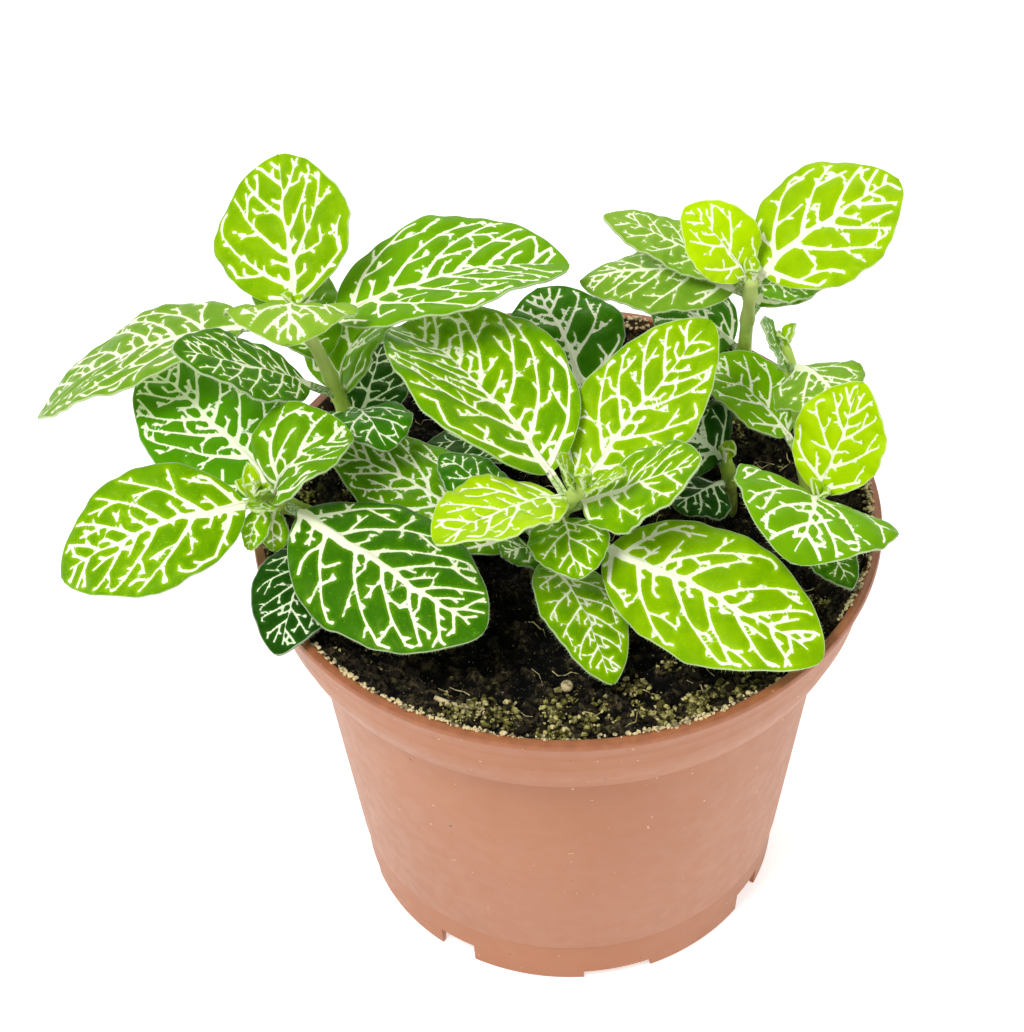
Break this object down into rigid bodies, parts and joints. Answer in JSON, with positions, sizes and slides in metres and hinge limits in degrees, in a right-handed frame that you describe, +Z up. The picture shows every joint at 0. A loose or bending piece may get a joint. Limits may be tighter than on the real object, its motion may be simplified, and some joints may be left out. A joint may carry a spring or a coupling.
{
  "type": "potted plant",
  "caption": "Small bushy nerve plant with white-veined green oval leaves in a round tapered terracotta-coloured plastic nursery pot.",
  "frame": {"origin": "on the floor under the middle of the whole plant's box; the pot's axis is 20 mm towards +X from it", "axes": "+Z up along the pot's axis, +X to the right and +Y to the back as the picture shows the plant"},
  "size_m": [0.1661, 0.12, 0.1517],
  "materials": {
    "pot_plastic": "satin",
    "soil": "matte",
    "stem": "satin",
    "leaf_young": "satin",
    "leaf_grown": "satin",
    "leaf_pale": "satin",
    "leaf_dark": "satin",
    "leaf_old": "satin"
  },
  "bodies": {
    "root": {"pot": "pot_plastic", "soil": "soil", "rear_left_stem": "stem", "rear_left_leaf_1": "leaf_young", "rear_left_leaf_2": "leaf_pale", "rear_left_leaf_3": "leaf_pale", "rear_left_leaf_4": "leaf_grown", "rear_left_leaf_5": "leaf_grown", "rear_left_leaf_6": "leaf_grown", "rear_left_leaf_7": "leaf_grown", "rear_left_leaf_8": "leaf_dark", "rear_left_leaf_9": "leaf_old", "front_left_stem": "stem", "front_left_leaf_1": "leaf_young", "front_left_leaf_2": "leaf_grown", "front_left_leaf_3": "leaf_young", "front_left_leaf_4": "leaf_young", "front_left_leaf_5": "leaf_young", "front_left_leaf_6": "leaf_dark", "front_left_leaf_7": "leaf_grown", "front_left_leaf_8": "leaf_old", "centre_stem": "stem", "centre_leaf_1": "leaf_young", "centre_leaf_2": "leaf_young", "centre_leaf_3": "leaf_young", "centre_leaf_4": "leaf_young", "centre_leaf_5": "leaf_young", "centre_leaf_6": "leaf_young", "centre_leaf_7": "leaf_young", "centre_leaf_8": "leaf_young", "centre_leaf_9": "leaf_young", "centre_leaf_10": "leaf_grown", "centre_leaf_11": "leaf_grown", "centre_leaf_12": "leaf_dark", "rear_right_stem": "stem", "rear_right_leaf_1": "leaf_young", "rear_right_leaf_2": "leaf_young", "rear_right_leaf_3": "leaf_pale", "rear_right_leaf_4": "leaf_pale", "rear_right_leaf_5": "leaf_grown", "rear_right_leaf_6": "leaf_dark", "rear_right_leaf_7": "leaf_grown", "back_right_stem": "stem", "back_right_leaf_1": "leaf_pale", "back_right_leaf_2": "leaf_grown", "back_right_leaf_3": "leaf_grown", "back_right_leaf_4": "leaf_grown", "right_stem": "stem", "right_leaf_1": "leaf_young", "right_leaf_2": "leaf_grown", "right_leaf_3": "leaf_grown", "low_right_stem": "stem", "low_right_leaf_1": "leaf_old", "low_right_leaf_2": "leaf_old", "low_back_stem": "stem", "low_back_leaf_1": "leaf_dark", "low_back_leaf_2": "leaf_old", "low_back_leaf_3": "leaf_dark"}
  },
  "joints": []
}
